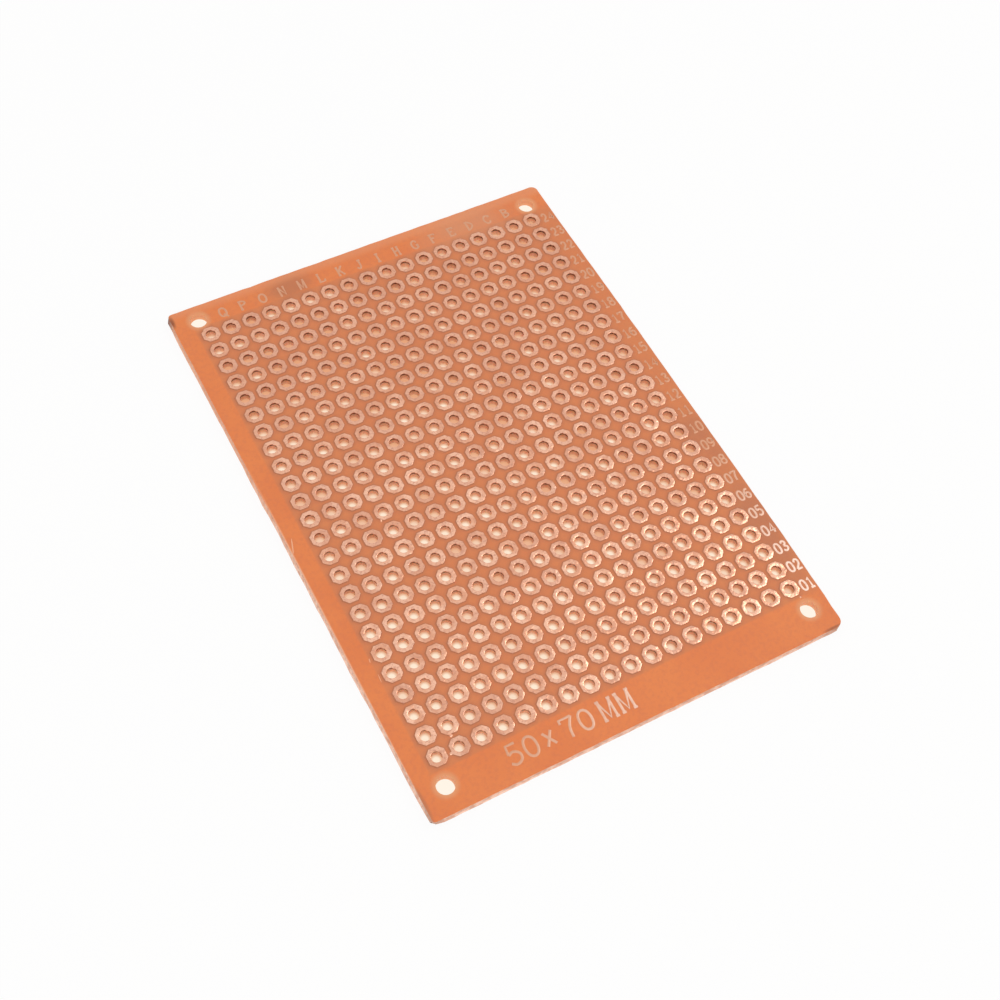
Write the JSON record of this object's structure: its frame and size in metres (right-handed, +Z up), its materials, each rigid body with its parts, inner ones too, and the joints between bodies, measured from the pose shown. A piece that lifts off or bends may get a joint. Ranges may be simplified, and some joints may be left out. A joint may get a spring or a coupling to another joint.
{
  "type": "prototype board",
  "caption": "Single-sided phenolic prototype board with a regular grid of lead holes, each in its own octagonal copper pad, and a screw hole at each corner.",
  "frame": {"origin": "middle of the board's underside", "axes": "+X across the 50 mm width towards the numbered edge; +Y along the 69.3 mm length from row 01 towards the lettered edge; +Z up, out of the copper side"},
  "size_m": [0.05, 0.0694, 0.001],
  "materials": {
    "laminate": "satin orange-brown phenolic paper under a thin clear flux lacquer",
    "copper": "bare etched copper foil under the same thin flux lacquer, pinkish, satin"
  },
  "bodies": {
    "root": {"laminate": "laminate", "pads_row_01": "copper", "pads_row_02": "copper", "pads_row_03": "copper", "pads_row_04": "copper", "pads_row_05": "copper", "pads_row_06": "copper", "pads_row_07": "copper", "pads_row_08": "copper", "pads_row_09": "copper", "pads_row_10": "copper", "pads_row_11": "copper", "pads_row_12": "copper", "pads_row_13": "copper", "pads_row_14": "copper", "pads_row_15": "copper", "pads_row_16": "copper", "pads_row_17": "copper", "pads_row_18": "copper", "pads_row_19": "copper", "pads_row_20": "copper", "pads_row_21": "copper", "pads_row_22": "copper", "pads_row_23": "copper", "pads_row_24": "copper"}
  },
  "joints": []
}
